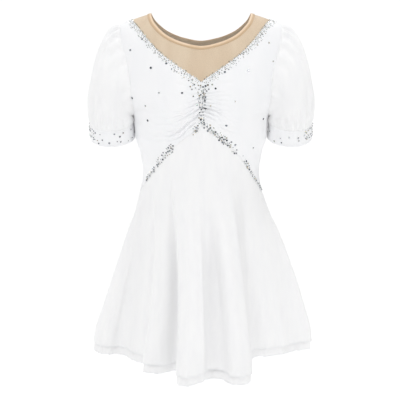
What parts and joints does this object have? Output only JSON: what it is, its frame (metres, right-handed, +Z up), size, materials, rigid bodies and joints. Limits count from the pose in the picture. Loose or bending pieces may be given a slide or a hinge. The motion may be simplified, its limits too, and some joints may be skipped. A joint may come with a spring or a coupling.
{
  "type": "figure skating dress",
  "caption": "Worn-shape stage dress: sheer V yoke, bodice gathered at the front, short puff sleeves with cuffs, and a flared layered skirt hung from a pointed waist seam.",
  "frame": {"origin": "midway between the two points where the neck edge crosses the shoulders, where the wearer's shoulders carry the dress", "axes": "+Z up, -Y out of the front of the dress, +X towards the wearer's left"},
  "size_m": [0.5017, 0.4146, 0.7572],
  "materials": {
    "sheer_net": "skin-toned sheer stretch net",
    "net_binding": "folded skin-toned binding, slightly shiny",
    "stretch_knit": "white satin-faced stretch knit",
    "chiffon": "white chiffon, soft and slightly sheer"
  },
  "bodies": {
    "root": {"front_yoke": "sheer_net", "back_yoke": "sheer_net", "neck_binding": "net_binding", "bodice_front_right": "stretch_knit", "bodice_front_left": "stretch_knit", "bodice_back": "stretch_knit", "sleeve_right": "chiffon", "cuff_right": "stretch_knit", "sleeve_left": "chiffon", "cuff_left": "stretch_knit", "skirt_outer_front": "chiffon", "skirt_outer_back": "chiffon", "skirt_under_front": "chiffon", "skirt_under_back": "chiffon"}
  },
  "joints": []
}
